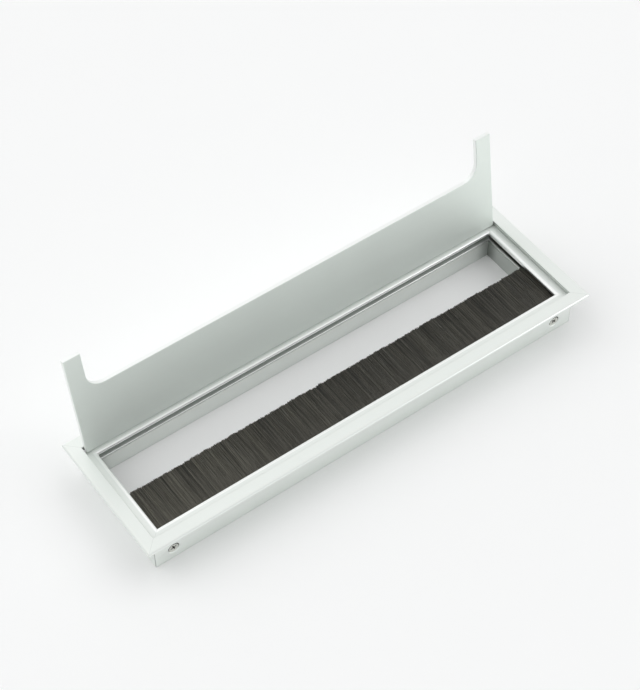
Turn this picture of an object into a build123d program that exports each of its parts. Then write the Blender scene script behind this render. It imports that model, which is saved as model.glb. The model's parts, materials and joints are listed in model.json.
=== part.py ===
"""Worktop cable grommet: mitred aluminium frame, brush seal and a hinged lid with a cable notch."""
import math
import os
import random

from build123d import *

os.makedirs("parts", exist_ok=True)

# Frame, in mm. Heights are from the worktop, which the flange's underside rests on.
frame_length = 275.0
frame_width = 80.0
frame_depth = 23.7
flange_thickness = 1.5
flange_top_radius = 0.9
flange_root_radius = 0.8

# Extrusion section. Insets are measured inwards from the flange's outer edge.
rim_width = 7.3
rebate_depth = 2.9
ledge_inset = 12.7
ledge_thickness = 2.5
ledge_top_radius = 1.0
ledge_bottom_radius = 0.7
slot_height = 5.0
skirt_inset = 6.1
inner_wall_inset = 11.2
wall = 1.2
screw_wall = 1.8
edge_break = 0.25
rebate_groove_height = 0.5
rebate_groove_depth = 0.4
lip_height = 0.9
lip_groove_height = 0.6
lip_groove_depth = 0.35

# Corner screws, M3.5 with a 90 degree head
screw_end_distance = 17.0
screw_height = -14.6
screw_radius = 1.7
screw_head_radius = 3.1
screw_sink_radius = 3.5
screw_length = 3.3
screw_clearance = 0.1
recess_span = 3.4
recess_slot = 0.8
recess_depth = 0.9
recess_taper = 8.0

# Corner keys
key_leg = 28.0
key_height = 10.6
key_clearance = 0.2
key_thread_clearance = 0.05

# Lid
lid_thickness = 2.5
lid_depth = 63.2
lid_end_gap = 0.8
lid_back_gap = 0.55
lid_lean = 8.7
notch_depth = 24.1
ear_width = 9.5
notch_radius = 9.0
ear_radius = 1.0
lid_corner_radius = 1.5
pivot_edge_radius = 1.2

# Hinge pins
pin_radius = 0.75
pin_running_clearance = 0.05
pin_seat_clearance = 0.01
pin_end_play = 0.15
pin_bore_in_rail = 0.9
pin_bore_in_lid = 8.0
pin_chamfer = 0.2

# Strip brush in the front rail's slot
brush_end_gap = 0.3
channel_height = 4.7
channel_depth = 3.6
channel_bend = 2.2
channel_sheet = 0.5
channel_throat = 2.0
bundle_radius = 1.35
bundle_back_gap = 0.05
core_radius = 0.6
core_clearance = 0.02
bristle_half = 0.95
bristle_valley = 0.2
brush_reach = 40.0
tuft_pitch = 4.2
tip_notch = 0.7
tip_spread = 0.5
ridge_place = (0.35, 0.65)
tip_place = (0.4, 0.6)
notch_place = (0.93, 0.99)

# Levels and spans that follow from the sizes above
top = flange_thickness
ledge_top = top - rebate_depth
ledge_bottom = ledge_top - ledge_thickness
slot_floor = ledge_bottom - slot_height
chamber_top = slot_floor - wall
base = top - frame_depth
chamber_floor = base + wall
half_length = frame_length / 2
half_width = frame_width / 2
chamber_outer = skirt_inset + screw_wall
chamber_inner = inner_wall_inset - wall
recess_back = half_width - rim_width
pivot_y = recess_back - lid_back_gap - lid_thickness / 2
pivot_z = top - lid_thickness / 2


def rail_section(half_span: float) -> Sketch:
    """Section of the frame extrusion, drawn half_span out from the middle of the frame."""
    groove_bottom = ledge_top + (rebate_depth - rebate_groove_height) / 2
    lip_bottom = slot_floor - lip_height
    corners = {
        "flange_top": (half_span, top),
        "rim_edge": (half_span - rim_width, top),
        "groove_top_out": (half_span - rim_width, groove_bottom + rebate_groove_height),
        "groove_top_in": (half_span - rim_width + rebate_groove_depth, groove_bottom + rebate_groove_height),
        "groove_bottom_in": (half_span - rim_width + rebate_groove_depth, groove_bottom),
        "groove_bottom_out": (half_span - rim_width, groove_bottom),
        "rebate_root": (half_span - rim_width, ledge_top),
        "ledge_top": (half_span - ledge_inset, ledge_top),
        "ledge_bottom": (half_span - ledge_inset, ledge_bottom),
        "slot_top": (half_span - rim_width, ledge_bottom),
        "slot_root": (half_span - rim_width, slot_floor),
        "lip_top": (half_span - inner_wall_inset, slot_floor),
        "lip_bottom": (half_span - inner_wall_inset, lip_bottom),
        "lip_groove_top": (half_span - inner_wall_inset + lip_groove_depth, lip_bottom),
        "lip_groove_bottom": (half_span - inner_wall_inset + lip_groove_depth, lip_bottom - lip_groove_height),
        "wall_top": (half_span - inner_wall_inset, lip_bottom - lip_groove_height),
        "wall_bottom": (half_span - inner_wall_inset, base),
        "skirt_bottom": (half_span - skirt_inset, base),
        "flange_root": (half_span - skirt_inset, 0),
        "flange_bottom": (half_span, 0),
    }
    rounds = {
        "flange_top": flange_top_radius,
        "flange_root": flange_root_radius,
        "ledge_top": ledge_top_radius,
        "ledge_bottom": ledge_bottom_radius,
    }
    breaks = ["rim_edge", "lip_top", "wall_top", "wall_bottom", "skirt_bottom", "flange_bottom"]
    with BuildSketch() as section:
        with BuildLine():
            Polyline(*corners.values(), close=True)
        make_face()
        for name, radius in rounds.items():
            fillet(section.vertices().sort_by_distance((*corners[name], 0))[0], radius)
        for name in breaks:
            chamfer(section.vertices().sort_by_distance((*corners[name], 0))[0], edge_break)
        chamber_middle = half_span - (chamber_outer + chamber_inner) / 2
        with Locations((chamber_middle, (chamber_top + chamber_floor) / 2)):
            Rectangle(chamber_inner - chamber_outer, chamber_top - chamber_floor, mode=Mode.SUBTRACT)
    return section.sketch


# Long rails, mitred at both ends and drilled for the corner screws
long_rail_outline = [
    (-half_length, half_width),
    (half_length, half_width),
    (half_length - half_width, 0),
    (-half_length + half_width, 0),
]
long_section = rail_section(half_width)
front_face = Plane(origin=(0, -half_width + skirt_inset, screw_height), x_dir=(1, 0, 0), z_dir=(0, -1, 0))
back_face = Plane(origin=(0, half_width - skirt_inset, screw_height), x_dir=(-1, 0, 0), z_dir=(0, 1, 0))
long_screw_spacing = frame_length - 2 * screw_end_distance
mitre_height = frame_depth + flange_thickness

with BuildPart() as frame_front_rail:
    with BuildSketch(Plane(origin=(0, 0, 0), x_dir=(0, -1, 0), z_dir=(-1, 0, 0))):
        add(long_section)
    extrude(amount=half_length, both=True)
    with BuildSketch(Plane(origin=(0, 0, base), x_dir=(-1, 0, 0), z_dir=(0, 0, 1))):
        Polygon(*long_rail_outline, align=None)
    extrude(amount=mitre_height, mode=Mode.INTERSECT)
    with Locations(front_face):
        with GridLocations(long_screw_spacing, 1, 2, 1):
            CounterSinkHole(screw_radius + screw_clearance, screw_sink_radius, depth=screw_wall)

with BuildPart() as frame_back_rail:
    with BuildSketch(Plane.YZ):
        add(long_section)
    extrude(amount=half_length, both=True)
    with BuildSketch(Plane.XY.offset(base)):
        Polygon(*long_rail_outline, align=None)
    extrude(amount=mitre_height, mode=Mode.INTERSECT)
    with Locations(back_face):
        with GridLocations(long_screw_spacing, 1, 2, 1):
            CounterSinkHole(screw_radius + screw_clearance, screw_sink_radius, depth=screw_wall)

# End rails, with a blind bore for the lid's hinge pin
end_rail_outline = [(half_length, -half_width), (half_length, half_width), (half_length - half_width, 0)]
end_section = rail_section(half_length)
left_face = Plane(origin=(-half_length + skirt_inset, 0, screw_height), x_dir=(0, -1, 0), z_dir=(-1, 0, 0))
right_face = Plane(origin=(half_length - skirt_inset, 0, screw_height), x_dir=(0, 1, 0), z_dir=(1, 0, 0))
left_pivot = Plane(origin=(-half_length + rim_width, pivot_y, pivot_z), x_dir=(0, 1, 0), z_dir=(1, 0, 0))
right_pivot = Plane(origin=(half_length - rim_width, pivot_y, pivot_z), x_dir=(0, -1, 0), z_dir=(-1, 0, 0))
end_screw_spacing = frame_width - 2 * screw_end_distance

with BuildPart() as frame_left_rail:
    with BuildSketch(Plane(origin=(0, 0, 0), x_dir=(-1, 0, 0), z_dir=(0, 1, 0))):
        add(end_section)
    extrude(amount=half_width, both=True)
    with BuildSketch(Plane(origin=(0, 0, base), x_dir=(-1, 0, 0), z_dir=(0, 0, 1))):
        Polygon(*end_rail_outline, align=None)
    extrude(amount=mitre_height, mode=Mode.INTERSECT)
    with Locations(left_face):
        with GridLocations(end_screw_spacing, 1, 2, 1):
            CounterSinkHole(screw_radius + screw_clearance, screw_sink_radius, depth=screw_wall)
    with Locations(left_pivot):
        Hole(pin_radius + pin_running_clearance, depth=pin_bore_in_rail)

with BuildPart() as frame_right_rail:
    with BuildSketch(Plane.XZ):
        add(end_section)
    extrude(amount=half_width, both=True)
    with BuildSketch(Plane.XY.offset(base)):
        Polygon(*end_rail_outline, align=None)
    extrude(amount=mitre_height, mode=Mode.INTERSECT)
    with Locations(right_face):
        with GridLocations(end_screw_spacing, 1, 2, 1):
            CounterSinkHole(screw_radius + screw_clearance, screw_sink_radius, depth=screw_wall)
    with Locations(right_pivot):
        Hole(pin_radius + pin_running_clearance, depth=pin_bore_in_rail)

frame_front_rail.part.label = "frame_front_rail"
export_step(frame_front_rail.part, "parts/frame_front_rail.step")
frame_back_rail.part.label = "frame_back_rail"
export_step(frame_back_rail.part, "parts/frame_back_rail.step")
frame_left_rail.part.label = "frame_left_rail"
export_step(frame_left_rail.part, "parts/frame_left_rail.step")
frame_right_rail.part.label = "frame_right_rail"
export_step(frame_right_rail.part, "parts/frame_right_rail.step")

# Corner keys: L-shaped plates that lie on the chamber's floor against its outer wall
key_thickness = chamber_inner - chamber_outer - key_clearance
corner_sides = {
    "front_left": (-1, -1),
    "front_right": (1, -1),
    "back_left": (-1, 1),
    "back_right": (1, 1),
}
for corner, (side_x, side_y) in corner_sides.items():
    key_x = side_x * (half_length - chamber_outer)
    key_y = side_y * (half_width - chamber_outer)
    key_outline = [
        (key_x, key_y),
        (key_x - side_x * key_leg, key_y),
        (key_x - side_x * key_leg, key_y - side_y * key_thickness),
        (key_x - side_x * key_thickness, key_y - side_y * key_thickness),
        (key_x - side_x * key_thickness, key_y - side_y * key_leg),
        (key_x, key_y - side_y * key_leg),
    ]
    long_leg_face = Plane(
        origin=(side_x * (half_length - screw_end_distance), key_y, screw_height), z_dir=(0, side_y, 0)
    )
    short_leg_face = Plane(
        origin=(key_x, side_y * (half_width - screw_end_distance), screw_height), z_dir=(side_x, 0, 0)
    )
    with BuildPart() as corner_key:
        with BuildSketch(Plane.XY.offset(chamber_floor)):
            with BuildLine():
                Polyline(*key_outline, close=True)
            make_face()
        extrude(amount=key_height)
        with Locations(long_leg_face, short_leg_face):
            Hole(screw_radius + key_thread_clearance, depth=key_thickness)
    corner_key.part.label = f"corner_key_{corner}"
    export_step(corner_key.part, f"parts/corner_key_{corner}.step")

# Corner screws, each sunk below the skirt's face by the difference between sink and head
screw_sunk = screw_sink_radius - screw_head_radius
head_height = screw_head_radius - screw_radius
screw_profile = [
    (0, 0),
    (screw_head_radius, 0),
    (screw_radius, -head_height),
    (screw_radius, -screw_length),
    (0, -screw_length),
]
screw_seats = {
    "screw_front_left": (front_face, -long_screw_spacing / 2),
    "screw_front_right": (front_face, long_screw_spacing / 2),
    "screw_back_left": (back_face, long_screw_spacing / 2),
    "screw_back_right": (back_face, -long_screw_spacing / 2),
    "screw_left_front": (left_face, end_screw_spacing / 2),
    "screw_left_back": (left_face, -end_screw_spacing / 2),
    "screw_right_front": (right_face, -end_screw_spacing / 2),
    "screw_right_back": (right_face, end_screw_spacing / 2),
}
tightening = random.Random(3)
for label, (face, along) in screw_seats.items():
    turn = tightening.uniform(0, 90)
    head_top = Plane(origin=face.from_local_coords((along, 0, -screw_sunk)), x_dir=face.x_dir, z_dir=face.z_dir)
    side_plane = Plane(origin=head_top.origin, x_dir=head_top.x_dir, z_dir=-head_top.y_dir)
    with BuildPart() as corner_screw:
        with BuildSketch(side_plane):
            with BuildLine():
                Polyline(*screw_profile, close=True)
            make_face()
        revolve(axis=Axis(head_top.origin, head_top.z_dir))
        with BuildSketch(head_top):
            Rectangle(recess_span, recess_slot, rotation=turn)
            Rectangle(recess_slot, recess_span, rotation=turn)
        extrude(amount=-recess_depth, taper=recess_taper, mode=Mode.SUBTRACT)
    corner_screw.part.label = label
    export_step(corner_screw.part, f"parts/{label}.step")

# Lid: drawn on its own plane through the pivot, leaning back on the rim
lean = math.radians(lid_lean)
lid_plane = Plane(
    origin=(0, pivot_y, pivot_z), x_dir=(1, 0, 0), z_dir=(0, -math.cos(lean), math.sin(lean))
)
lid_half = half_length - rim_width - lid_end_gap
lid_bottom = -lid_thickness / 2
lid_top = lid_bottom + lid_depth
notch_floor = lid_top - notch_depth
notch_half = lid_half - ear_width
lid_outline = [
    (-lid_half, lid_bottom),
    (lid_half, lid_bottom),
    (lid_half, lid_top),
    (notch_half, lid_top),
    (notch_half, notch_floor),
    (-notch_half, notch_floor),
    (-notch_half, lid_top),
    (-lid_half, lid_top),
]
left_end = Plane(origin=(-lid_half, pivot_y, pivot_z), x_dir=(0, -1, 0), z_dir=(-1, 0, 0))
right_end = Plane(origin=(lid_half, pivot_y, pivot_z), x_dir=(0, 1, 0), z_dir=(1, 0, 0))

with BuildPart() as lid:
    with BuildSketch(lid_plane) as lid_sketch:
        with BuildLine():
            Polyline(*lid_outline, close=True)
        make_face()
        tips = lid_sketch.vertices().group_by(Axis.Y)[-1]
        roots = lid_sketch.vertices().group_by(Axis.Y)[1]
        corners = lid_sketch.vertices().group_by(Axis.Y)[0]
        fillet(roots, notch_radius)
        fillet(tips, ear_radius)
        fillet(corners, lid_corner_radius)
    extrude(amount=lid_thickness / 2, both=True)
    along = lid.edges().filter_by(Axis.X)
    pivot_edges = along.sort_by_distance((0, pivot_y, pivot_z))[:2]
    fillet(pivot_edges, pivot_edge_radius)
    broad_faces = lid.faces().sort_by(SortBy.AREA)[-2:]
    rim_edges = broad_faces.edges().filter_by(
        lambda edge: lid_plane.to_local_coords(edge.center()).Y > lid_corner_radius
    )
    chamfer(rim_edges, edge_break)
    with Locations(left_end, right_end):
        Hole(pin_radius + pin_seat_clearance, depth=pin_bore_in_lid)
lid.part.label = "lid"
export_step(lid.part, "parts/lid.step")

# Hinge pins: pressed into the lid's ends, running in the end rails' bores
pin_outer = half_length - rim_width + pin_bore_in_rail - pin_end_play
pin_inner = lid_half - pin_bore_in_lid
for label, outward in {"hinge_pin_left": -1, "hinge_pin_right": 1}.items():
    pin_plane = Plane(origin=(outward * pin_inner, pivot_y, pivot_z), z_dir=(outward, 0, 0))
    with BuildPart() as hinge_pin:
        with BuildSketch(pin_plane):
            Circle(pin_radius)
        extrude(amount=pin_outer - pin_inner)
        ends = hinge_pin.edges().filter_by(GeomType.CIRCLE)
        outer_edge = ends.sort_by_distance((outward * half_length, pivot_y, pivot_z))[0]
        chamfer(outer_edge, pin_chamfer)
    hinge_pin.part.label = label
    export_step(hinge_pin.part, f"parts/{label}.step")

# Strip brush: a folded bundle round a core wire, held by a channel in the front rail's slot
brush_half = half_length - inner_wall_inset - brush_end_gap
channel_back = -half_width + rim_width
channel_middle = slot_floor + channel_height / 2
channel_plane = Plane(origin=(0, channel_back, channel_middle), x_dir=(0, 1, 0), z_dir=(1, 0, 0))
half_outside = channel_height / 2
half_inside = half_outside - channel_sheet
half_throat = channel_throat / 2
channel_outline = [
    (0, -half_outside),
    (channel_bend, -half_outside),
    (channel_depth, -half_throat - channel_sheet),
    (channel_depth, -half_throat),
    (channel_bend, -half_inside),
    (channel_sheet, -half_inside),
    (channel_sheet, half_inside),
    (channel_bend, half_inside),
    (channel_depth, half_throat),
    (channel_depth, half_throat + channel_sheet),
    (channel_bend, half_outside),
    (0, half_outside),
]
with BuildPart() as brush_channel:
    with BuildSketch(channel_plane):
        with BuildLine():
            Polyline(*channel_outline, close=True)
        make_face()
    extrude(amount=brush_half, both=True)
brush_channel.part.label = "brush_channel"
export_step(brush_channel.part, "parts/brush_channel.step")

core_offset = channel_sheet + bundle_back_gap + bundle_radius
core_y = channel_back + core_offset
core_plane = Plane(origin=(0, core_y, channel_middle), x_dir=(0, 1, 0), z_dir=(1, 0, 0))
with BuildPart() as brush_core_wire:
    with BuildSketch(core_plane):
        Circle(core_radius)
    extrude(amount=brush_half, both=True)
brush_core_wire.part.label = "brush_core_wire"
export_step(brush_core_wire.part, "parts/brush_core_wire.step")

# Bristles: tufts show as ridges above and below, and their tips end unevenly
tuft_count = round(2 * brush_half / tuft_pitch)
tuft_width = 2 * brush_half / tuft_count
tip_line = -half_width + brush_reach
scatter = random.Random(11)
upper_edge = []
for tuft in range(tuft_count):
    tuft_left = -brush_half + tuft * tuft_width
    upper_edge.append((tuft_left, bristle_half - bristle_valley))
    upper_edge.append((tuft_left + tuft_width * scatter.uniform(*ridge_place), bristle_half))
upper_edge.append((brush_half, bristle_half - bristle_valley))
lower_edge = [(x, -z) for x, z in reversed(upper_edge)]
tip_edge = [(-brush_half, tip_line - tip_notch)]
for tuft in range(tuft_count):
    tuft_middle = -brush_half + (tuft + scatter.uniform(*tip_place)) * tuft_width
    tip_edge.append((tuft_middle, tip_line + scatter.uniform(-tip_spread, tip_spread)))
    if tuft < tuft_count - 1:
        tuft_right = -brush_half + (tuft + scatter.uniform(*notch_place)) * tuft_width
        tip_edge.append((tuft_right, tip_line - tip_notch + scatter.uniform(-tip_spread, 0)))
tip_edge.append((brush_half, tip_line - tip_notch))
bristle_outline = [(-brush_half, core_y), *tip_edge, (brush_half, core_y)]

with BuildPart() as brush_bristles:
    with BuildSketch(Plane.XY.offset(channel_middle - bristle_half)):
        with BuildLine():
            Polyline(*bristle_outline, close=True)
        make_face()
    extrude(amount=2 * bristle_half)
    with BuildSketch(Plane(origin=(0, core_y, channel_middle), x_dir=(1, 0, 0), z_dir=(0, -1, 0))):
        with BuildLine():
            Polyline(*upper_edge, *lower_edge, close=True)
        make_face()
    extrude(amount=-frame_width, mode=Mode.INTERSECT)
    with BuildSketch(core_plane):
        Circle(bundle_radius)
    extrude(amount=brush_half, both=True)
    with BuildSketch(core_plane):
        Circle(core_radius + core_clearance)
    extrude(amount=brush_half, both=True, mode=Mode.SUBTRACT)
brush_bristles.part.label = "brush_bristles"
export_step(brush_bristles.part, "parts/brush_bristles.step")
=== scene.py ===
"""Looks of a worktop cable grommet: satin anodised metal, cross-head screws and a black brush seal."""

import json
import logging
import math
from dataclasses import dataclass, field, replace
from enum import Enum
from typing import Any, Dict, List, Optional, Tuple, Union

import bpy
from mathutils import Matrix, Vector

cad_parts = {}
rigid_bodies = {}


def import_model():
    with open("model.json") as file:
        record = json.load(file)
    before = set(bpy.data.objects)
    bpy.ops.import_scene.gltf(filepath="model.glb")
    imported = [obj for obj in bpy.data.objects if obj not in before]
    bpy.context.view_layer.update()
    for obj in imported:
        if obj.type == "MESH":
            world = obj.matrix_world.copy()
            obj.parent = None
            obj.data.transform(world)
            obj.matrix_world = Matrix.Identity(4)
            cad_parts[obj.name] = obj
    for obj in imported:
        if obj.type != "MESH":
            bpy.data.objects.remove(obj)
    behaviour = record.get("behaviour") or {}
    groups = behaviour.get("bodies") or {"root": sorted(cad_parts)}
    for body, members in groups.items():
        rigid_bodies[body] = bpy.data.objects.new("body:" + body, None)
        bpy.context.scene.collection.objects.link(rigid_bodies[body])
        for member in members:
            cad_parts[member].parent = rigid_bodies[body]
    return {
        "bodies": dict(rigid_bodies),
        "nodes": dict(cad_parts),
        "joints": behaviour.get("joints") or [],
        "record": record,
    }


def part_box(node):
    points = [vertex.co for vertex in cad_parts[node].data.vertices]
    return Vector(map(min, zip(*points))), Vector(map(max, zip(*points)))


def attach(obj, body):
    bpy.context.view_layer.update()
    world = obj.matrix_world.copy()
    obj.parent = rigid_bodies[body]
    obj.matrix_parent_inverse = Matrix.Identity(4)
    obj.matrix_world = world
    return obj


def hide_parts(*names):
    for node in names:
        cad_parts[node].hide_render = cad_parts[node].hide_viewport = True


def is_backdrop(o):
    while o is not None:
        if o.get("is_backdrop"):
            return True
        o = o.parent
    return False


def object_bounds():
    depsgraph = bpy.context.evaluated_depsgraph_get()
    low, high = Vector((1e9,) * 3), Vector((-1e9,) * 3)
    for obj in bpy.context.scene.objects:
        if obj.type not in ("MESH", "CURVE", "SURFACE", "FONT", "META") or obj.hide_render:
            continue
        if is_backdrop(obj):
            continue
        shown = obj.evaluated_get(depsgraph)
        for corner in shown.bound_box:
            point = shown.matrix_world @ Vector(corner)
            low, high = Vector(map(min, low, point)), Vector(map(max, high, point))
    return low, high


LOG = logging.getLogger("grommet")
MM = 0.001

Colour = Tuple[float, float, float]
Triple = Tuple[float, float, float]
Span = Tuple[float, float]


class Along(Enum):
    """The way in which a piece of metal was drawn, as an axis of the frame."""

    X = 0
    Y = 1


class Mark(Enum):
    """What the making of a small metal piece leaves on its surface."""

    SPANGLE = "crystals of a zinc bath"
    DRAWN = "lines along its length"
    TURNED = "rings round its axis"


class Draw(Enum):
    """What is drawn by chance for a filament or for one of its legs. No two share a number."""

    PLACE = 1
    DEPTH = 2
    STRAY = 3
    WILD = 4
    IS_WILD = 5
    BOW = 6
    CUT = 7
    FLARE = 8
    THICKNESS = 9
    SHADE = 10


class Graph:
    """A node tree, with the one method by which this file adds nodes."""

    def __init__(self, tree: bpy.types.NodeTree) -> None:
        """Takes a tree over and empties it.

        Args:
            tree: the tree of a material, of the world or of a geometry modifier.
        """
        tree.nodes.clear()
        self.tree = tree

    def node(
        self,
        kind: str,
        settings: Optional[Dict[str, Any]] = None,
        inputs: Optional[Dict[Union[int, str], Any]] = None,
    ) -> bpy.types.Node:
        """Adds a node, sets it and then fills its sockets.

        Args:
            kind: the node's type.
            settings: what is set first, such as a Math node's operation.
            inputs: a plain value, a socket or a Value for each socket, by name or by number.

        Returns:
            The new node.
        """
        made = self.tree.nodes.new(kind)
        for name, setting in (settings or {}).items():
            setattr(made, name, setting)
        for key, given in (inputs or {}).items():
            self.feed(made.inputs[key], given)
        return made

    def feed(self, socket: bpy.types.NodeSocket, given: Any) -> None:
        """Links a socket to a Value or another socket, or sets it to a plain value.

        Args:
            socket: the input to fill.
            given: what it takes.
        """
        source = given.socket if isinstance(given, Value) else given
        if isinstance(source, bpy.types.NodeSocket):
            self.tree.links.new(source, socket)
        else:
            socket.default_value = source

    def value(self, node: bpy.types.Node, output: Union[int, str] = 0) -> "Value":
        """Wraps one of a node's outputs, for use in an expression."""
        return Value(self, node.outputs[output])


class Value:
    """A number that a tree works out. Each operator adds its Math node."""

    def __init__(self, graph: Graph, socket: bpy.types.NodeSocket) -> None:
        """Wraps a socket.

        Args:
            graph: the tree that the socket is in.
            socket: an output of one of its nodes.
        """
        self.graph = graph
        self.socket = socket

    def _math(self, operation: str, *operands: Any) -> "Value":
        """Adds one Math node and wraps its result."""
        made = self.graph.node("ShaderNodeMath", {"operation": operation}, dict(enumerate(operands)))
        return self.graph.value(made)

    def __add__(self, other: Any) -> "Value":
        """Adds."""
        return self._math("ADD", self, other)

    def __radd__(self, other: Any) -> "Value":
        """Adds to a plain number."""
        return self._math("ADD", other, self)

    def __sub__(self, other: Any) -> "Value":
        """Subtracts."""
        return self._math("SUBTRACT", self, other)

    def __rsub__(self, other: Any) -> "Value":
        """Subtracts from a plain number."""
        return self._math("SUBTRACT", other, self)

    def __mul__(self, other: Any) -> "Value":
        """Multiplies."""
        return self._math("MULTIPLY", self, other)

    def __rmul__(self, other: Any) -> "Value":
        """Multiplies a plain number."""
        return self._math("MULTIPLY", other, self)

    def __truediv__(self, other: Any) -> "Value":
        """Divides."""
        return self._math("DIVIDE", self, other)

    def __pow__(self, other: Any) -> "Value":
        """Raises to a power."""
        return self._math("POWER", self, other)

    def __abs__(self) -> "Value":
        """Drops the sign."""
        return self._math("ABSOLUTE", self)

    def sign(self) -> "Value":
        """Gives -1, 0 or 1."""
        return self._math("SIGN", self)

    def sine(self) -> "Value":
        """Gives the sine of an angle in radians."""
        return self._math("SINE", self)

    def above(self, other: Any) -> "Value":
        """Gives 1 where this is the greater, and 0 elsewhere."""
        return self._math("GREATER_THAN", self, other)

    def least(self, other: Any) -> "Value":
        """Gives the smaller of two."""
        return self._math("MINIMUM", self, other)

    def most(self, other: Any) -> "Value":
        """Gives the greater of two."""
        return self._math("MAXIMUM", self, other)

    def ease(self, start: float, end: float) -> "Value":
        """Rises smoothly from 0 to 1. Where start is the greater, it falls from 1 to 0.

        Args:
            start: where it leaves 0.
            end: where it reaches 1.

        Returns:
            A value of 0 to 1.
        """
        made = self.graph.node(
            "ShaderNodeMapRange",
            {"interpolation_type": "SMOOTHSTEP"},
            {"Value": self, "From Min": start, "From Max": end},
        )
        return self.graph.value(made)


class Surface(Graph):
    """A material's tree, with the parts that the finishes share."""

    def __init__(self, name: str) -> None:
        """Makes a material with one Principled shader.

        Args:
            name: the material's name.
        """
        self.material = bpy.data.materials.new(name)
        self.material.use_nodes = True
        super().__init__(self.material.node_tree)
        self.place = self.node("ShaderNodeTexCoord").outputs["Object"]
        self.shader = self.node("ShaderNodeBsdfPrincipled")
        self.node("ShaderNodeOutputMaterial", None, {"Surface": self.shader.outputs["BSDF"]})

    def axes(self) -> Tuple[Value, Value, Value]:
        """Gives the place on the object along X, Y and Z, in metres."""
        split = self.node("ShaderNodeSeparateXYZ", None, {0: self.place})
        return self.value(split, 0), self.value(split, 1), self.value(split, 2)

    def noise(self, per_metre: Triple, detail: float = 2.0) -> Value:
        """Adds a noise of the given fineness along each axis.

        Args:
            per_metre: how many waves a metre holds along X, Y and Z.
            detail: how many finer layers it has.

        Returns:
            A value around 0.5.
        """
        spread = self.node("ShaderNodeMapping", None, {"Vector": self.place, "Scale": per_metre})
        inputs = {"Vector": spread.outputs[0], "Scale": 1.0, "Detail": detail}
        return self.value(self.node("ShaderNodeTexNoise", None, inputs))

    def mix(self, factor: Any, first: Any, second: Any) -> bpy.types.NodeSocket:
        """Mixes two colours.

        Args:
            factor: how much of the second there is.
            first: a colour or a colour socket.
            second: a colour or a colour socket.

        Returns:
            The mixed colour's socket.
        """
        pair = [(*c, 1.0) if isinstance(c, tuple) else c for c in (first, second)]
        made = self.node("ShaderNodeMix", {"data_type": "RGBA"}, {0: factor, 6: pair[0], 7: pair[1]})
        return made.outputs[2]

    def relief(
        self, height: Value, depth: float, over: Optional[bpy.types.NodeSocket] = None
    ) -> bpy.types.NodeSocket:
        """Adds a bump from a height of 0 to 1.

        Args:
            height: the height.
            depth: what a height of 1 measures, in metres.
            over: the normal of a coarser bump that this one lies over.

        Returns:
            The normal's socket.
        """
        inputs = {"Distance": depth, "Height": height}
        if over is not None:
            inputs["Normal"] = over
        return self.node("ShaderNodeBump", None, inputs).outputs[0]

    def finish(self, **sockets: Any) -> bpy.types.Material:
        """Fills the shader's sockets and hands the material over.

        Args:
            **sockets: a value or socket for each, with the socket's name in lower case and underscores.

        Returns:
            The material.
        """
        names = {socket.name.lower().replace(" ", "_"): socket for socket in self.shader.inputs}
        for name, given in sockets.items():
            self.feed(names[name], (*given, 1.0) if isinstance(given, tuple) else given)
        return self.material


@dataclass(frozen=True)
class Anodised:
    """Satin anodised aluminium: an etched grain over faint lines along the way in which it was drawn.

    Each triple of shares or swings is for the lines, the grain and the clouds, in that order.
    """

    name: str
    drawn: Along
    colour: Colour = (0.85, 0.88, 0.855)
    darker: float = 0.965
    lighter: float = 1.03
    lightest: float = 0.97
    roughness: float = 0.60
    lines_per_metre: float = 1400.0
    waves_per_metre: float = 9.0
    grain_per_metre: float = 5200.0
    clouds_per_metre: float = 28.0
    colour_shares: Triple = (0.5, 0.3, 0.2)
    roughness_swings: Triple = (0.10, 0.06, 0.08)
    grain_height: float = 0.55
    lines_height: float = 0.45
    relief_depth: float = 0.004 * MM

    def lay(self, surface: Surface) -> Tuple[bpy.types.NodeSocket, Value, Value]:
        """Lays the grain, the lines and the unevenness of the etch.

        Args:
            surface: the material's tree.

        Returns:
            The colour, the roughness and the height of the surface.
        """
        fineness = [self.lines_per_metre] * 3
        fineness[self.drawn.value] = self.waves_per_metre
        lines = surface.noise(tuple(fineness), detail=3.0)
        grain = surface.noise((self.grain_per_metre,) * 3, detail=1.0)
        clouds = surface.noise((self.clouds_per_metre,) * 3)
        darker = tuple(self.darker * part for part in self.colour)
        lighter = tuple(min(self.lighter * part, self.lightest) for part in self.colour)
        of_lines, of_grain, of_clouds = self.colour_shares
        colour = surface.mix(of_lines * lines + of_grain * grain + of_clouds * clouds, darker, lighter)
        roughness = self.roughness
        for swing, layer in zip(self.roughness_swings, (lines, grain, clouds)):
            roughness = roughness + swing * (layer - 0.5)
        return colour, roughness, self.grain_height * grain + self.lines_height * lines


@dataclass(frozen=True)
class RailShade:
    """How much shade is painted inside a rail: in its brush slot and on its inner wall."""

    slot_fade: float
    slot: float
    wall: float


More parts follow.
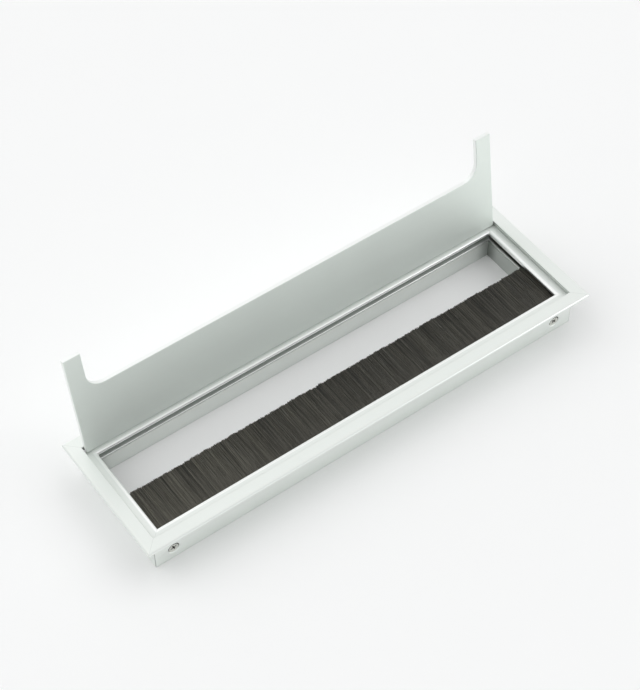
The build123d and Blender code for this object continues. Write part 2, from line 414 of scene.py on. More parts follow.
@dataclass(frozen=True)
class FrameFinish:
    """The finish of a rail: anodised, with hairlines at its mitres, a painted highlight on its lips, and
    painted shade in its brush slot and other hollows.

    Each span says where a mark leaves 0 and where it is full: as a height, or as a distance in from the
    frame's edge, off a line of the section, or below the lip.
    """

    anodised: Anodised
    half_length: float
    half_width: float
    shade: RailShade
    rounding: float = 0.9 * MM
    handled: Span = (rounding, 0.3 * rounding)
    rim_width: float = 7.3 * MM
    off_rebate_wall: Span = (0.2 * MM, 0.05 * MM)
    rebate_top: Span = (1.28 * MM, 1.1 * MM)
    rebate_middle: float = 0.2 * MM
    rebate_corners: Span = (0.2 * MM, 0.6 * MM)
    ledge_underside: float = -3.9 * MM
    slot_top: Span = (ledge_underside + 0.1 * MM, ledge_underside - 0.3 * MM)
    slot_floor: float = -8.9 * MM
    slot_bottom: Span = (slot_floor - 0.1 * MM, slot_floor)
    nose_inset: float = 12.7 * MM
    nose: Span = (nose_inset - 0.9 * MM, nose_inset - 0.5 * MM)
    nose_bottom: Span = (-4.5 * MM, -4.2 * MM)
    under_nose: Span = (-2.2 * MM, ledge_underside)
    lip_inset: float = 11.2 * MM
    lip_round: float = 0.8 * MM
    lip: Span = (lip_round, 0.8 * lip_round)
    inner_wall: Span = (lip_inset - 0.5 * MM, lip_inset - 0.3 * MM)
    below_lip: Span = (slot_floor - lip_round, slot_floor - 1.4 * lip_round)
    groove_drop: float = 1.5 * MM
    groove: Span = (0.45 * MM, 0.05 * MM)
    groove_depth: float = 0.5
    inside_skirt: Span = (6.5 * MM, 6.9 * MM)
    outside_skirt: Span = (6.4 * MM, 5.8 * MM)
    below_flange: Span = (-0.2 * MM, -0.8 * MM)
    hairline: Span = (0.08 * MM, 0.03 * MM)
    open_joint: Span = (0.504 * MM, 0.294 * MM)
    corner_reach: float = 9.0 * MM
    hairline_shade: float = 0.22
    corner_shade: float = 0.45
    rebate_shade: float = 0.55
    groove_shade: float = 0.3
    nose_shade: float = 0.5
    # how strongly the painted highlight lightens the lip
    lip_highlight_strength: float = 0.8
    handled_polish: float = 0.16
    rebate_polish: float = 0.30
    lip_polish: float = 0.20
    nose_polish: float = 0.22
    dark_roughness: float = 0.2
    joint_dullness: float = 0.8
    # painted highlight colour of the lip
    lip_highlight_colour: Colour = (0.95, 0.96, 0.95)
    joint_colour: Colour = (0.03, 0.033, 0.03)
    # painted shade colour of the brush slot
    slot_shade_colour: Colour = (0.085, 0.09, 0.082)
    # painted shade colour: the rebate corners, the groove, the underside of the nose and the inner wall are
    # mixed towards it
    painted_shade_colour: Colour = (0.22, 0.24, 0.22)

    def build(self) -> bpy.types.Material:
        """Builds the material.

        Returns:
            The material.
        """
        surface = Surface(self.anodised.name)
        colour, roughness, height = self.anodised.lay(surface)
        x, y, z = surface.axes()
        in_from_end = self.half_length - abs(x)
        in_from_side = self.half_width - abs(y)
        inset = in_from_end.least(in_from_side)
        joint = self._joint(z, in_from_end, in_from_side)
        slot = self._slot_painted_shade(z, inset)
        step, step_corners = self._step(z, inset)
        nose = inset.ease(*self.nose) * z.ease(*self.nose_bottom)
        lip, groove, profile = self._lip(z, inset)
        wall = self._inner_wall(z, inset, abs(in_from_end - in_from_side))
        under_nose = nose * z.ease(*self.under_nose)
        # Painted shade: the rebate's corners, the fine groove, the underside of the nose and the inner wall
        # (most near the inner corners) are darkened in the colour.
        shaded = (self.rebate_shade * step_corners).most(self.groove_shade * groove)
        shaded = shaded.most(self.nose_shade * under_nose).most(wall)
        colour = surface.mix(shaded, colour, self.painted_shade_colour)
        # Painted highlight: the lip at the top of the inner wall is lightened towards near white.
        colour = surface.mix(self.lip_highlight_strength * lip, colour, self.lip_highlight_colour)
        # Painted shade: the brush slot is darkened towards a near-black colour.
        colour = surface.mix(slot, surface.mix(joint, colour, self.joint_colour), self.slot_shade_colour)
        polish = (self.handled_polish * inset.ease(*self.handled)).most(self.rebate_polish * step)
        polish = polish.most(self.lip_polish * lip).most(self.nose_polish * nose)
        rounded = surface.relief(profile, self.lip_round)
        return surface.finish(
            base_color=colour,
            metallic=1.0 - self.joint_dullness * joint,
            roughness=roughness - polish + self.dark_roughness * joint.most(slot),
            normal=surface.relief(height, self.anodised.relief_depth, rounded),
        )

    def _joint(self, z: Value, in_from_end: Value, in_from_side: Value) -> Value:
        """Marks the mitre: a hairline on the flange, and an open joint at the corners of the skirt.

        Args:
            z: the height.
            in_from_end: how far in from the frame's end.
            in_from_side: how far in from its long side.

        Returns:
            The joint.
        """
        off_mitre = abs(in_from_end - in_from_side) * math.sqrt(0.5)
        on_skirt = z.ease(*self.below_flange) * in_from_end.ease(*self.outside_skirt)
        hairline = self.hairline_shade * off_mitre.ease(*self.hairline)
        return hairline.most(on_skirt * off_mitre.ease(*self.open_joint))

    def _slot_painted_shade(self, z: Value, inset: Value) -> Value:
        """Marks the painted shade of the brush slot, which darkens with its depth behind the lip.

        Args:
            z: the height.
            inset: how far in from the frame's edge.

        Returns:
            The slot's painted shade.
        """
        behind_lip = inset.ease(self.lip_inset, self.lip_inset - self.shade.slot_fade)
        between = z.ease(*self.slot_bottom) * z.ease(*self.slot_top)
        return self.shade.slot * between * behind_lip * inset.ease(*self.inside_skirt)

    def _step(self, z: Value, inset: Value) -> Tuple[Value, Value]:
        """Marks the wall of the rebate, and apart from it its corners above and below, where shade is painted.
        """
        wall = abs(inset - self.rim_width).ease(*self.off_rebate_wall) * z.ease(*self.rebate_top)
        return wall, wall * abs(z - self.rebate_middle).ease(*self.rebate_corners)

    def _lip(self, z: Value, inset: Value) -> Tuple[Value, Value, Value]:
        """Marks the upper edge of the inner wall.

        Args:
            z: the height.
            inset: how far in from the frame's edge.

        Returns:
            The lip, which gets a painted highlight; the fine groove below it, which gets painted shade; and
            the height that shapes the two.
        """
        on_wall = inset.ease(*self.inner_wall)
        below = self.slot_floor - z
        lip = on_wall * below.ease(*self.lip)
        groove = on_wall * abs(below - self.groove_drop).ease(*self.groove)
        rounded = (below / self.lip_round).most(0.0).least(1.0)
        return lip, groove, on_wall * rounded - self.groove_depth * groove

    def _inner_wall(self, z: Value, inset: Value, off_corner: Value) -> Value:
        """Paints shade on the inner wall below its lip, more so near the inner corners.

        Args:
            z: the height.
            inset: how far in from the frame's edge.
            off_corner: how far from the mitre.

        Returns:
            The painted shade.
        """
        on_wall = z.ease(*self.below_lip) * inset.ease(*self.inner_wall)
        return (self.shade.wall + self.corner_shade * off_corner.ease(self.corner_reach, 0.0)) * on_wall


@dataclass(frozen=True)
class LidFinish:
    """The finish of the lid: anodised broad faces, and milled edges that catch the light."""

    anodised: Anodised
    pivot: Triple
    lean: float
    half_thickness: float
    edge_break: Span = (0.05 * MM, 0.3 * MM)
    marks_per_metre: float = 1100.0
    marks_length_per_metre: float = 40.0
    marks_roughness: float = 0.10
    marks_height: float = 0.8
    cut_polish: float = 0.04
    cut_share: float = 0.8
    cut_colour: Colour = (0.93, 0.94, 0.935)

    def build(self) -> bpy.types.Material:
        """Builds the material.

        Returns:
            The material.
        """
        surface = Surface(self.anodised.name)
        colour, roughness, height = self.anodised.lay(surface)
        _, y, z = surface.axes()
        outward, upward = y - self.pivot[1], z - self.pivot[2]
        off_middle = abs(outward * math.cos(self.lean) - upward * math.sin(self.lean))
        edge = off_middle.ease(*(self.half_thickness - inward for inward in self.edge_break))
        fineness = (self.marks_per_metre, self.marks_length_per_metre, self.marks_per_metre)
        marks = surface.noise(fineness, detail=1.0)
        return surface.finish(
            base_color=surface.mix(self.cut_share * edge, colour, self.cut_colour),
            metallic=1.0,
            roughness=roughness + edge * (self.marks_roughness * marks - self.cut_polish),
            normal=surface.relief(height + self.marks_height * edge * marks, self.anodised.relief_depth),
        )


@dataclass(frozen=True)
class SmallMetal:
    """Bare or plated metal of a small piece, with the marks of its making, and painted shade in a screw's
    recess and round its head.
    """

    name: str
    mark: Mark
    colour: Colour
    roughness: float
    centre: Triple = (0.0, 0.0, 0.0)
    axis: Along = Along.X
    recess_radius: float = 0.0
    head_radius: float = 0.0
    marks_per_metre: float = 3500.0
    waves_per_metre: float = 12.0
    stains_per_metre: float = 420.0
    darker: float = 0.72
    marks_share: float = 0.6
    stains_share: float = 0.4
    marks_roughness: float = 0.14
    stains_roughness: float = 0.12
    relief_depth: float = 0.006 * MM
    # Where shade is painted on a screw head: the cross recess, and a crescent round the head that is widest at
    # its upper edge.
    recess_edge: Span = (1.0, 0.9)
    recess_depth: Span = (0.10 * MM, 0.45 * MM)
    recess_shade_strength: float = 0.95
    seat_drop: float = 0.45 * MM
    seat_edge: Span = (0.84, 0.92)
    seat_shadow_strength: float = 0.9
    shaded_roughness: float = 0.4
    screw_shade_colour: Colour = (0.035, 0.033, 0.030)

    def build(self) -> bpy.types.Material:
        """Builds the material.

        Returns:
            The material.
        """
        surface = Surface(self.name)
        across = [place - middle for place, middle in zip(surface.axes(), self.centre)]
        along = across.pop(self.axis.value)
        off_axis = self._distance(*across)
        stains = surface.noise((self.stains_per_metre,) * 3, detail=3.0)
        marks = self._marks(surface, off_axis)
        darker = tuple(self.darker * part for part in self.colour)
        colour = surface.mix(self.marks_share * marks + self.stains_share * stains, darker, self.colour)
        roughness = self.roughness + self.marks_roughness * (marks - 0.5)
        roughness = roughness + self.stains_roughness * (stains - 0.5)
        # Painted shade: the cross recess and a crescent at the head's upper edge, where the countersink shades
        # it, are darkened in the colour and made rougher.
        if self.recess_radius:
            in_recess = off_axis.ease(*(share * self.recess_radius for share in self.recess_edge))
            sunk = abs(along).ease(*self.recess_depth) * in_recess
            off_seat = self._distance(across[0], across[1] + self.seat_drop)
            seat = off_seat.ease(*(share * self.head_radius for share in self.seat_edge))
            screw_painted_shade = (self.recess_shade_strength * sunk).most(self.seat_shadow_strength * seat)
            colour = surface.mix(screw_painted_shade, colour, self.screw_shade_colour)
            roughness = roughness + self.shaded_roughness * screw_painted_shade
        normal = surface.relief(marks, self.relief_depth)
        return surface.finish(base_color=colour, metallic=1.0, roughness=roughness, normal=normal)

    @staticmethod
    def _distance(first: Value, second: Value) -> Value:
        """Gives the distance from the axis, from the two places across it."""
        return (first * first + second * second) ** 0.5

    def _marks(self, surface: Surface, off_axis: Value) -> Value:
        """Lays the marks of the making.

        Args:
            surface: the material's tree.
            off_axis: how far the surface is from the piece's axis.

        Returns:
            A value of 0 to 1.
        """
        if self.mark is Mark.TURNED:
            return 0.5 + 0.5 * (off_axis * (2 * math.pi * self.marks_per_metre)).sine()
        if self.mark is Mark.DRAWN:
            fineness = [self.marks_per_metre] * 3
            fineness[self.axis.value] = self.waves_per_metre
            return surface.noise(tuple(fineness))
        inputs = {"Vector": surface.place, "Scale": self.marks_per_metre}
        crystals = surface.node("ShaderNodeTexVoronoi", {"feature": "F1"}, inputs)
        shade = surface.node("ShaderNodeSeparateColor", None, {0: crystals.outputs["Color"]})
        return surface.value(shade)


@dataclass(frozen=True)
class NylonFilament:
    """Black nylon filament, with each filament a little different and darker towards its tip.

    Near the wire the filaments look alike. Towards their tips they differ more and are darker, and the strip
    is paler towards its left end.
    """

    name: str = "black_nylon_filament"
    deep: Colour = (0.017, 0.016, 0.014)
    pale: Colour = (0.147, 0.141, 0.112)
    mean_tone: float = 0.29
    mean_shade: float = 0.30
    spread_at_wire: float = 0.30
    spread_to_tip: float = 1.20
    darker_to_tip: float = 0.42
    clean: float = 0.5
    dust: float = 0.75
    dust_per_metre: Triple = (260.0, 90.0, 260.0)
    left_end_paleness: float = 0.95
    paler_towards_left: Span = (0.02, -0.13)
    roughness: float = 0.42
    shade_roughness: float = 0.18
    dust_roughness: float = 0.10
    crimp_per_metre: Triple = (2600.0, 500.0, 2600.0)
    crimp_depth: float = 0.01 * MM
    shade_attribute: str = "filament_shade"
    reach_attribute: str = "filament_reach"

    def build(self) -> bpy.types.Material:
        """Builds the material.

        Returns:
            The material.
        """
        surface = Surface(self.name)
        shade = surface.value(self._attribute(surface, self.shade_attribute), "Fac")
        reach = surface.value(self._attribute(surface, self.reach_attribute), "Fac")
        dust = surface.noise(self.dust_per_metre, detail=3.0)
        crimp = surface.noise(self.crimp_per_metre, detail=1.0)
        towards_left_end = surface.axes()[0].ease(*self.paler_towards_left)
        spread = self.spread_at_wire + self.spread_to_tip * reach
        scattered = (self.mean_tone + (shade - self.mean_shade) * spread).most(0.0)
        scattered = scattered * (1.0 - self.darker_to_tip * reach)
        # the strip is paler towards its left end
        tone = scattered * (self.clean + self.dust * dust + self.left_end_paleness * towards_left_end)
        roughness = self.roughness + self.shade_roughness * (shade - 0.5)
        return surface.finish(
            base_color=surface.mix(tone, self.deep, self.pale),
            roughness=roughness + self.dust_roughness * (dust - 0.5),
            normal=surface.relief(crimp, self.crimp_depth),
        )

    @staticmethod
    def _attribute(surface: Surface, name: str) -> bpy.types.Node:
        """Reads a number that the filaments' mesh carries."""
        return surface.node("ShaderNodeAttribute", {"attribute_name": name})


def dress(frame: Dict[str, Any], node: str, material: bpy.types.Material) -> None:
    """Gives a CAD node its finish.

    Args:
        frame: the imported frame.
        node: the node's name.
        material: its finish.
    """
    piece = frame["nodes"][node]
    for holder in piece.material_slots:
        holder.material = material
    LOG.info("%s: %s", node, material.name)


@dataclass
class FrameExtrusions:
    """The four mitred rails. The end rails get more painted shade in their slot and on their inner wall."""

    half_length: float
    half_width: float
    drawn: Tuple[Tuple[Along, Tuple[str, ...]], ...] = (
        (Along.X, ("frame_front_rail", "frame_back_rail")),
        (Along.Y, ("frame_left_rail", "frame_right_rail")),
    )
    # how much shade is painted in each pair's slot and on its inner wall
    shades: Dict[Along, RailShade] = field(
        default_factory=lambda: {
            Along.X: RailShade(slot_fade=2.3 * MM, slot=0.30, wall=0.0),
            Along.Y: RailShade(slot_fade=0.9 * MM, slot=0.92, wall=0.36),
        }
    )

    @classmethod
    def measured(cls) -> "FrameExtrusions":
        """Takes the frame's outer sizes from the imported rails."""
        return cls(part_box("frame_right_rail")[1].x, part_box("frame_back_rail")[1].y)

    def build(self, frame: Dict[str, Any]) -> None:
        """Dresses the rails, each pair in metal drawn along its own length.

        Args:
            frame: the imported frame.
        """
        for along, rails in self.drawn:
            anodised = Anodised(f"anodised_frame_drawn_along_{along.name.lower()}", along)
            material = FrameFinish(anodised, self.half_length, self.half_width, self.shades[along]).build()
            for rail in rails:
                dress(frame, rail, material)


@dataclass
class CornerFixings:
    """The corner keys in the rails, and the screws that hold them."""

    screw_sides: Tuple[Tuple[Along, Tuple[str, ...]], ...] = (
        (Along.Y, ("front_left", "front_right", "back_left", "back_right")),
        (Along.X, ("left_front", "left_back", "right_front", "right_back")),
    )
    key_corners: Tuple[str, ...] = ("front_left", "front_right", "back_left", "back_right")
    zinc: SmallMetal = SmallMetal(
        "zinc_plated_key", Mark.SPANGLE, (0.60, 0.61, 0.63), 0.38, marks_per_metre=900.0
    )
    nickel: SmallMetal = SmallMetal("nickel", Mark.TURNED, (0.88, 0.88, 0.83), 0.24, recess_radius=1.95 * MM)

    def build(self, frame: Dict[str, Any]) -> None:
        """Dresses the keys in zinc and each screw in nickel, turned about its own axis.

        Args:
            frame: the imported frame.
        """
        plated = self.zinc.build()
        for corner in self.key_corners:
            dress(frame, f"corner_key_{corner}", plated)
        for axis, seats in self.screw_sides:
            for seat in seats:
                node = f"screw_{seat}"
                centre, head_radius = self._head(node, axis)
                finish = replace(
                    self.nickel, name=f"nickel_{node}", centre=centre, axis=axis, head_radius=head_radius
                )
                dress(frame, node, finish.build())

    @staticmethod
    def _head(node: str, axis: Along) -> Tuple[Triple, float]:
        """Finds the middle of a screw's head on its outer face, and the head's radius.

        Args:
            node: the screw's name.
            axis: the axis that it lies along.

        Returns:
            The place and the radius, in metres.
        """
        low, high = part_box(node)
        centre = (low + high) / 2
        outer = high if centre[axis.value] > 0 else low
        centre[axis.value] = outer[axis.value]
        return tuple(centre), (high.z - low.z) / 2


@dataclass
class HingedLid:
    """The lid with its cable notch, and the pins that it turns on."""

    pivot: Triple
    lean: float
    half_thickness: float = 1.25 * MM
    anodised: Anodised = Anodised(
        "anodised_lid_drawn_along_x", Along.X, colour=(0.82, 0.87, 0.835), roughness=0.62
    )
    ground: SmallMetal = SmallMetal("ground_steel_pin", Mark.TURNED, (0.66, 0.66, 0.67), 0.22)

    @classmethod
    def measured(cls, frame: Dict[str, Any]) -> "HingedLid":
        """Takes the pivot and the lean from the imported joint, which closes the lid flat at its far limit."""
        joint = frame["joints"][0]
        return cls(tuple(joint["pos_m"]), math.radians(joint["range_deg"][1] - 90.0))

    def build(self, frame: Dict[str, Any]) -> None:
        """Dresses the lid and its pins.

        Args:
            frame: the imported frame.
        """
        dress(frame, "lid", LidFinish(self.anodised, self.pivot, self.lean, self.half_thickness).build())
        ground = replace(self.ground, centre=self.pivot).build()
        for pin in ("hinge_pin_left", "hinge_pin_right"):
            dress(frame, pin, ground)


@dataclass(frozen=True)
class Drift:
    """A smooth wandering along the strip, which differs from layer to layer."""

    amount: float
    waves_per_metre: float
    layering: float


@dataclass(frozen=True)
class FilamentLay:
    """How the filaments lie, how unevenly they are cut, and how their shades differ.

    Tufts lean and end together, each filament strays from its tuft, and a few are wild. The points of a
    filament crowd towards the wire, where it bends.
    """

    crowding: float = 2.2
    depth: Span = (0.06, 1.0)
    leans: Tuple[Drift, Drift] = (Drift(0.9 * MM, 95.0, 0.4), Drift(0.75 * MM, 680.0, 1.3))
    lean_growth: float = 1.4
    stray: float = 0.35 * MM
    wild: float = 2.4 * MM
    tame_share: float = 0.965
    bow: float = 0.12 * MM
    bow_angle: float = 2.5 * math.pi
    end_room: float = 0.15 * MM
    ends: Tuple[Drift, Drift] = (Drift(0.45 * MM, 60.0, 0.3), Drift(1.00 * MM, 620.0, 1.0))
    cut: Span = (-0.40 * MM, 0.25 * MM)
    flare: float = 0.18
    settled: Span = (0.04, 0.35)
    folded: Span = (0.0, 0.045)
    thickness: Span = (0.8, 1.15)
    taper: float = 0.35
    clumps: Drift = Drift(1.0, 1250.0, 2.0)
    clump_edge: Span = (-0.30, 0.30)
    clump_shade: float = 0.38
    own_shade: float = 0.60
    own_shade_power: float = 1.6


class FilamentGraph(Graph):
    """The geometry tree of a strip brush, with the numbers that each point of a filament has.

    A filament folds round the core wire, so it has two legs. Each number is worked out from the filament's
    own number and from how far along it a point lies.
    """

    DRAWS_FOR_A_SEED = 50.0

    def __init__(self, tree: bpy.types.GeometryNodeTree, points: int, lay: FilamentLay) -> None:
        """Lays one line for each filament and numbers its points.

        Args:
            tree: the tree, with its inputs and its output.
            points: how many points a filament has.
            lay: how the filaments lie.
        """
        super().__init__(tree)
        self.lay = lay
        given = self.node("NodeGroupInput")
        self.size = {socket.name: Value(self, socket) for socket in given.outputs if socket.name}
        line = self.node("GeometryNodeCurvePrimitiveLine")
        divided = self.node("GeometryNodeResampleCurve", None, {"Curve": line.outputs[0], "Count": points})
        self.strip = self.node(
            "GeometryNodeDuplicateElements",
            {"domain": "SPLINE"},
            {"Geometry": divided.outputs[0], "Amount": self.size["Filaments"]},
        )
        number = self.value(self.strip, "Duplicate Index")
        run = self.value(self.node("GeometryNodeSplineParameter"), "Factor")
        self.side = (run - 0.5).sign()
        self.reach = abs(2.0 * run - 1.0) ** lay.crowding
        self.leg = number * 2.0 + run.above(0.5)
        along = (number + self.chance((0.0, 1.0), Draw.PLACE, number)) / self.size["Filaments"]
        self.root = self.size["Start"] + self.size["Span"] * along
        self.depth = self.chance(lay.depth, Draw.DEPTH)
        self.layer = self.side * self.depth

    def chance(self, span: Span, draw: Draw, who: Optional[Value] = None) -> Value:
        """Draws a number for each leg, or for each filament.

        Args:
            span: the least and the most that it can be.
            draw: what it is drawn for.
            who: the number of what it is drawn for, if not a leg.

        Returns:
            The number drawn.
        """
        seed = self.size["Seed"] * self.DRAWS_FOR_A_SEED + float(draw.value)
        made = self.node(
            "FunctionNodeRandomValue",
            {"data_type": "FLOAT"},
            {2: span[0], 3: span[1], "ID": who or self.leg, "Seed": seed},
        )
        return self.value(made, 1)

    def either_way(self, most: float, draw: Draw) -> Value:
        """Draws a number for each leg, as far below zero as above it."""
        return self.chance((-most, most), draw)

    def drift(self, wander: Drift) -> Value:
        """Wanders smoothly along the strip, differently in each layer.

        Args:
            wander: how far, how finely and how differently.

        Returns:
            A value of up to that amount, either way.
        """
        fineness = wander.waves_per_metre
        axes = {0: self.root * fineness, 1: wander.layering * self.layer, 2: fineness}
        where = self.node("ShaderNodeCombineXYZ", None, axes)
        made = self.node(
            "ShaderNodeTexNoise",
            {"noise_dimensions": "3D"},
            {"Vector": where.outputs[0], "Scale": 1.0, "Detail": 1.0},
        )
        return wander.amount * (2.0 * self.value(made) - 1.0)

    def across(self) -> Value:
        """Works out the place along the strip.

        Returns:
            The place along X, kept inside the frame.
        """
        lay = self.lay
        lean = self.drift(lay.leans[0]) + self.drift(lay.leans[1])
        stray = self.either_way(lay.stray, Draw.STRAY)
        is_wild = self.chance((0.0, 1.0), Draw.IS_WILD).above(lay.tame_share)
        wild = self.either_way(lay.wild, Draw.WILD) * is_wild
        bow = self.either_way(lay.bow, Draw.BOW) * (self.reach * lay.bow_angle).sine()
        place = self.root + (self.reach ** lay.lean_growth) * (lean + stray + wild) + bow
        low_end = self.size["Start"].least(0.0 - abs(self.size["Start"] + self.size["Span"]))
        return place.most(low_end + lay.end_room).least(0.0 - low_end - lay.end_room)

    def outward(self) -> Value:
        """Works out the place along the filament, from its fold to its tip.

        Returns:
            The place along Y.
        """
        uneven = self.drift(self.lay.ends[0]) + self.drift(self.lay.ends[1])
        tip = self.size["Tips"] + uneven + self.chance(self.lay.cut, Draw.CUT)
        return self.size["Fold"] + self.reach * (tip - self.size["Fold"])

    def upward(self) -> Value:
        """Works out the height: the legs pass above and below the wire, then run close together.

        Returns:
            The place along Z.
        """
        flare = 1.0 + self.lay.flare * self.reach * self.either_way(1.0, Draw.FLARE)
        settled = self.reach.ease(*self.lay.settled)
        run_out = self.size["Half Thickness"] * self.depth * flare
        rise = self.size["Leg Rise"] * (1.0 - settled) + run_out * settled
        return self.size["Height"] + self.side * rise * self.reach.ease(*self.lay.folded)

    def thicken(self, lines: bpy.types.NodeSocket, sides: int, nylon: NylonFilament) -> None:
        """Gives the lines their thickness and finish, and ends the tree.

        Args:
            lines: the shaped lines.
            sides: how many sides a filament's section has.
            nylon: the finish, which says under which names its numbers are kept.
        """
        lay = self.lay
        thickness = (1.0 - lay.taper * self.reach) * self.chance(lay.thickness, Draw.THICKNESS)
        sized = self.node("GeometryNodeSetCurveRadius", None, {"Curve": lines, "Radius": thickness})
        kept = sized.outputs[0]
        clump = self.drift(lay.clumps).ease(*lay.clump_edge)
        own = self.chance((0.0, 1.0), Draw.SHADE) ** lay.own_shade_power
        shade = lay.own_shade * own + lay.clump_shade * clump
        for name, number in ((nylon.shade_attribute, shade), (nylon.reach_attribute, self.reach)):
            kept = self.node(
                "GeometryNodeStoreNamedAttribute",
                {"data_type": "FLOAT", "domain": "POINT"},
                {"Geometry": kept, "Name": name, "Value": number},
            ).outputs[0]
        section = self.node(
            "GeometryNodeCurvePrimitiveCircle",
            {"mode": "RADIUS"},
            {"Resolution": sides, "Radius": self.size["Radius"]},
        )
        solid = self.node(
            "GeometryNodeCurveToMesh",
            None,
            {"Curve": kept, "Profile Curve": section.outputs[0], "Fill Caps": True},
        )
        smooth = self.node("GeometryNodeSetShadeSmooth", None, {"Geometry": solid.outputs[0]})
        real = self.node("GeometryNodeRealizeInstances", None, {"Geometry": smooth.outputs[0]})
        dressed = self.node(
            "GeometryNodeSetMaterial", None, {"Geometry": real.outputs[0], "Material": self.size["Finish"]}
        )
        self.node("NodeGroupOutput", None, {0: dressed.outputs[0]})


@dataclass
class BrushSeal:
    """The strip brush: filaments folded round a core wire and held in a channel.

    Each half of the strip is one mesh, made by a geometry tree: lines are bent round the wire, so that
    one leg runs out above it and one below, and then given their thickness.
    """

    half_length: float
    core_y: float
    core_z: float
    tip_y: float
    tip_room: float = 0.5 * MM
    lay: FilamentLay = FilamentLay()
    filaments_in_half: int = 3500
    points_on_filament: int = 9
    sides_of_filament: int = 3
    filament_radius: float = 0.105 * MM
    fold_behind_core: float = 1.25 * MM
    leg_rise: float = 0.88 * MM
    half_thickness: float = 1.05 * MM
    channel: SmallMetal = SmallMetal(
        "galvanised_channel", Mark.SPANGLE, (0.58, 0.59, 0.61), 0.40, marks_per_metre=450.0
    )
    core_wire: SmallMetal = SmallMetal("drawn_core_wire", Mark.DRAWN, (0.52, 0.52, 0.54), 0.32)
    tree_inputs: Tuple[Tuple[str, Tuple[str, ...]], ...] = (
        ("NodeSocketGeometry", ("Geometry",)),
        ("NodeSocketFloat", ("Start", "Span", "Fold", "Tips", "Height")),
        ("NodeSocketFloat", ("Leg Rise", "Half Thickness", "Radius")),
        ("NodeSocketInt", ("Filaments", "Seed")),
        ("NodeSocketMaterial", ("Finish",)),
    )

    @classmethod
    def measured(cls) -> "BrushSeal":
        """Takes the strip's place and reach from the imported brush.

        Returns:
            The brush.
        """
        low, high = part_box("brush_core_wire")
        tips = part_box("brush_bristles")[1].y
        return cls(high.x, (low.y + high.y) / 2, (low.z + high.z) / 2, tips - cls.tip_room)

    def build(self, frame: Dict[str, Any]) -> List[bpy.types.Object]:
        """Dresses the channel and the wire, and makes the filaments.

        Args:
            frame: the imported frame.

        Returns:
            The two meshes of filaments.
        """
        dress(frame, "brush_channel", self.channel.build())
        dress(frame, "brush_core_wire", self.core_wire.build())
        nylon = NylonFilament()
        material = nylon.build()
        group = self._filament_tree(nylon)
        pieces = []
        for seed, (side, start) in enumerate((("left", -self.half_length), ("right", 0.0))):
            pieces.append(self._grow(group, material, f"brush_filaments_{side}", start, seed))
        return pieces

    def _filament_tree(self, nylon: NylonFilament) -> bpy.types.GeometryNodeTree:
        """Builds the geometry tree that grows one half of the strip.

        Args:
            nylon: the finish, which says under which names its numbers are kept.

        Returns:
            The tree, with a named input for each size.
        """
        group = bpy.data.node_groups.new("brush_filaments", "GeometryNodeTree")
        for kind, names in self.tree_inputs:
            for name in names:
                group.interface.new_socket(name=name, in_out="INPUT", socket_type=kind)
        group.interface.new_socket(name="Geometry", in_out="OUTPUT", socket_type="NodeSocketGeometry")
        graph = FilamentGraph(group, self.points_on_filament, self.lay)
        axes = (graph.across(), graph.outward(), graph.upward())
        place = graph.node("ShaderNodeCombineXYZ", None, dict(enumerate(axes)))
        shaped = graph.node(
            "GeometryNodeSetPosition",
            None,
            {"Geometry": graph.strip.outputs[0], "Position": place.outputs[0]},
        )
        graph.thicken(shaped.outputs[0], self.sides_of_filament, nylon)
        return group

    def _grow(
        self,
        group: bpy.types.GeometryNodeTree,
        material: bpy.types.Material,
        name: str,
        start: float,
        seed: int,
    ) -> bpy.types.Object:
        """Grows one half of the strip, makes it a plain mesh and hands it to the frame.

        Args:
            group: the geometry tree.
            material: the filaments' finish.
            name: the piece's name.
            start: where the half begins along X.
            seed: what its random draws start from.

        Returns:
            The piece.
        """
        piece = bpy.data.objects.new(name, bpy.data.meshes.new(name))
        bpy.context.scene.collection.objects.link(piece)
        modifier = piece.modifiers.new("grow", "NODES")
        modifier.node_group = group
        sizes = {
            "Start": start,
            "Span": self.half_length,
            "Filaments": self.filaments_in_half,
            "Fold": self.core_y - self.fold_behind_core,
            "Tips": self.tip_y,
            "Height": self.core_z,
            "Leg Rise": self.leg_rise,
            "Half Thickness": self.half_thickness,
            "Radius": self.filament_radius,
            "Seed": seed,
            "Finish": material,
        }
        for socket in group.interface.items_tree:
            if socket.in_out == "INPUT" and socket.name in sizes:
                modifier[socket.identifier] = sizes[socket.name]
        grown = piece.evaluated_get(bpy.context.evaluated_depsgraph_get())
        piece.data = bpy.data.meshes.new_from_object(grown)
        piece.data.name = name
        piece.modifiers.remove(modifier)
        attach(piece, "frame")
        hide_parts("brush_bristles")
        LOG.info("%s: %d filaments, %d faces", name, self.filaments_in_half, len(piece.data.polygons))
        return piece


@dataclass(frozen=True)
class Sun:
    """A far, wide light. It lights the floor and the brush, and casts the shadows."""

    name: str
    comes_from: Triple
    strength: float
    spread: float

    def hang(self) -> None:
        """Hangs the light, out of sight of the metal's reflections."""
        lamp = bpy.data.lights.new(self.name, "SUN")
        lamp.energy = self.strength
        lamp.angle = self.spread
        holder = bpy.data.objects.new(self.name, lamp)
        holder.rotation_euler = Vector(self.comes_from).to_track_quat("Z", "Y").to_euler()
        holder.visible_glossy = False
        bpy.context.scene.collection.objects.link(holder)


@dataclass(frozen=True)
class Card:
    """A lit white card, turned to the frame. Only the metal's reflections see it."""

    name: str
    place: Triple
    width: float
    power: float

    def hang(self) -> None:
        """Hangs the card, so that it adds no light to matt surfaces."""
        lamp = bpy.data.lights.new(self.name, "AREA")
        lamp.shape = "DISK"
        lamp.size = self.width
        lamp.energy = self.power
        holder = bpy.data.objects.new(self.name, lamp)
        holder.location = self.place
        holder.rotation_euler = Vector(self.place).to_track_quat("Z", "Y").to_euler()
        holder.visible_diffuse = False
        bpy.context.scene.collection.objects.link(holder)


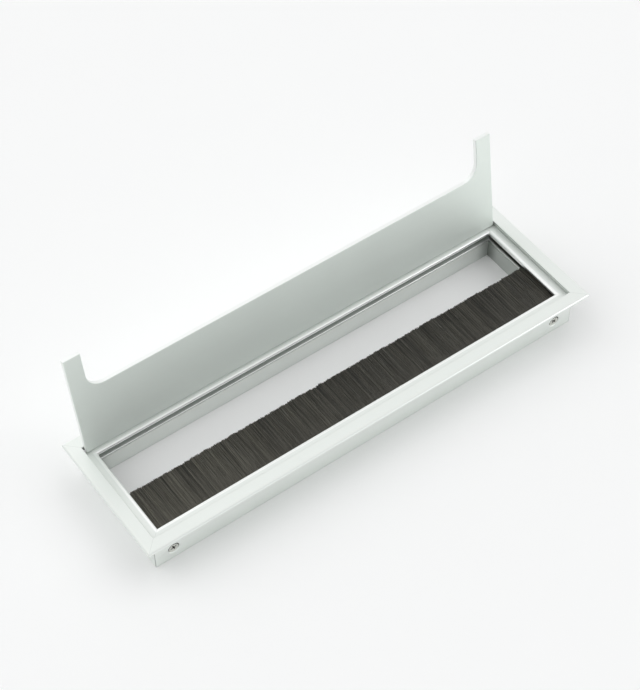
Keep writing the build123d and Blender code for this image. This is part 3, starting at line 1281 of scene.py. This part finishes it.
@dataclass
class Studio:
    """The pale floor, the soft light and the camera of the photograph."""

    floor_height: float
    floor_reach: float = 4.0
    floor_tone: Colour = (0.935, 0.94, 0.94)
    floor_mottle: float = 0.994
    floor_mottle_per_metre: float = 14.0
    floor_roughness: float = 0.9
    white: Tuple[float, float, float, float] = (1.0, 1.0, 1.0, 1.0)
    ambient: float = 0.28
    backdrop: float = 0.94
    reflected_backdrop: float = 0.82
    suns: Tuple[Sun, ...] = (
        Sun("left_key", (-0.60, 0.30, 0.70), 1.47, math.radians(80.0)),
        Sun("right_key", (0.50, -0.10, 0.80), 0.97, math.radians(60.0)),
        Sun("rim", (0.20, 0.80, 0.50), 0.76, math.radians(80.0)),
    )
    cards: Tuple[Card, ...] = (
        Card("back_card", (-0.1, 0.9, 0.9), 0.7, 2.0),
        Card("side_card", (0.8, 0.5, 0.8), 0.7, 0.5),
        Card("front_card", (0.35, -0.35, 0.12), 0.25, 0.31),
    )
    camera_place: Triple = (-0.3413, -0.4647, 0.7352)
    camera_azimuth: float = math.radians(-35.607)
    camera_elevation: float = math.radians(51.136)
    camera_roll: float = math.radians(-0.423)
    focal_pixels: float = 1827.8
    picture_height: float = 690.0
    sensor: float = 36.0
    nearest_seen: float = 0.01

    def build(self) -> None:
        """Lays the floor, lights the scene and sets the camera."""
        self._floor()
        self._world()
        for light in (*self.suns, *self.cards):
            light.hang()
        self._camera()

    def _floor(self) -> None:
        """Lays a matt floor under the frame."""
        reach = self.floor_reach
        corners = [(-reach, -reach), (reach, -reach), (reach, reach), (-reach, reach)]
        mesh = bpy.data.meshes.new("floor")
        mesh.from_pydata([(x, y, self.floor_height) for x, y in corners], [], [(0, 1, 2, 3)])
        floor = bpy.data.objects.new("floor", mesh)
        bpy.context.scene.collection.objects.link(floor)
        surface = Surface("matt_floor")
        mottle = surface.noise((self.floor_mottle_per_metre,) * 3)
        darker = tuple(self.floor_mottle * part for part in self.floor_tone)
        matt = surface.finish(
            base_color=surface.mix(mottle, darker, self.floor_tone),
            roughness=self.floor_roughness,
            specular_ior_level=0.0,
        )
        mesh.materials.append(matt)
        floor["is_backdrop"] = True

    def _world(self) -> None:
        """Lights the scene evenly, with a pale backdrop for the camera and for reflections."""
        world = bpy.data.worlds.new("studio")
        world.use_nodes = True
        bpy.context.scene.world = world
        graph = Graph(world.node_tree)
        ray = graph.node("ShaderNodeLightPath")
        seen = graph.value(ray, "Is Camera Ray").most(graph.value(ray, "Is Transmission Ray"))
        reflected = graph.value(ray, "Is Glossy Ray")
        strength = (
            self.ambient
            + (self.backdrop - self.ambient) * seen
            + (self.reflected_backdrop - self.ambient) * reflected
        )
        light = graph.node("ShaderNodeBackground", None, {"Color": self.white, "Strength": strength})
        graph.node("ShaderNodeOutputWorld", None, {"Surface": light.outputs[0]})

    def _camera(self) -> None:
        """Sets the camera where the photograph was taken from."""
        flat, rise = math.cos(self.camera_elevation), math.sin(self.camera_elevation)
        sideways, ahead = -math.sin(self.camera_azimuth) * flat, math.cos(self.camera_azimuth) * flat
        forward = Vector((sideways, ahead, -rise))
        level = forward.cross(Vector((0.0, 0.0, 1.0))).normalized()
        upright = level.cross(forward)
        right = math.cos(self.camera_roll) * level + math.sin(self.camera_roll) * upright
        up = right.cross(forward)
        lens = bpy.data.cameras.new("photograph")
        lens.sensor_width = self.sensor
        lens.lens = self.focal_pixels * self.sensor / self.picture_height
        lens.clip_start = self.nearest_seen
        camera = bpy.data.objects.new("photograph", lens)
        turned = Matrix((right, up, -forward)).transposed().to_4x4()
        camera.matrix_world = Matrix.Translation(self.camera_place) @ turned
        bpy.context.scene.collection.objects.link(camera)
        bpy.context.scene.camera = camera


def main() -> None:
    """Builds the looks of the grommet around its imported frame."""
    logging.basicConfig(level=logging.INFO, format="%(name)s: %(message)s")
    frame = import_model()
    cad_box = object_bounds()
    bpy.context.scene.view_settings.view_transform = "Standard"
    Studio(floor_height=cad_box[0].z).build()
    FrameExtrusions.measured().build(frame)
    CornerFixings().build(frame)
    HingedLid.measured(frame).build(frame)
    BrushSeal.measured().build(frame)


if __name__ == "__main__":
    main()
